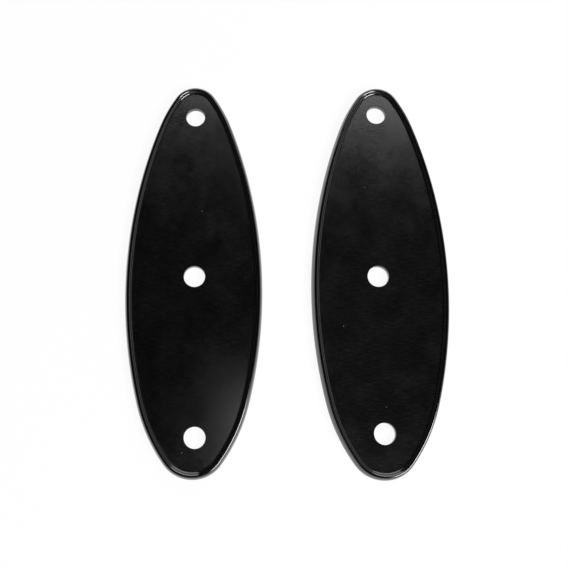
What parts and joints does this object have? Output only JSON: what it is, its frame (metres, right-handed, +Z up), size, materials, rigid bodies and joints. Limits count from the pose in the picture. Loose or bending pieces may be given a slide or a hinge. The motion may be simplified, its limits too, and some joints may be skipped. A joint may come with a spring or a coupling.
{
  "type": "oval guard plates",
  "caption": "Pair of long egg-shaped guard plates with a low rounded lip round a flat face and plain screw holes in line along the middle.",
  "frame": {"origin": "middle of the pair's box on the flat underside", "axes": "+Z up off the underside, +Y along the plates towards their pointed noses, +X from the left plate to the right plate"},
  "size_m": [0.1008, 0.1248, 0.003],
  "materials": {
    "black_moulding": "black plastic, satin on the flat face and glossy on the lip"
  },
  "bodies": {
    "root": {"left_guard_plate": "black_moulding", "right_guard_plate": "black_moulding"}
  },
  "joints": []
}
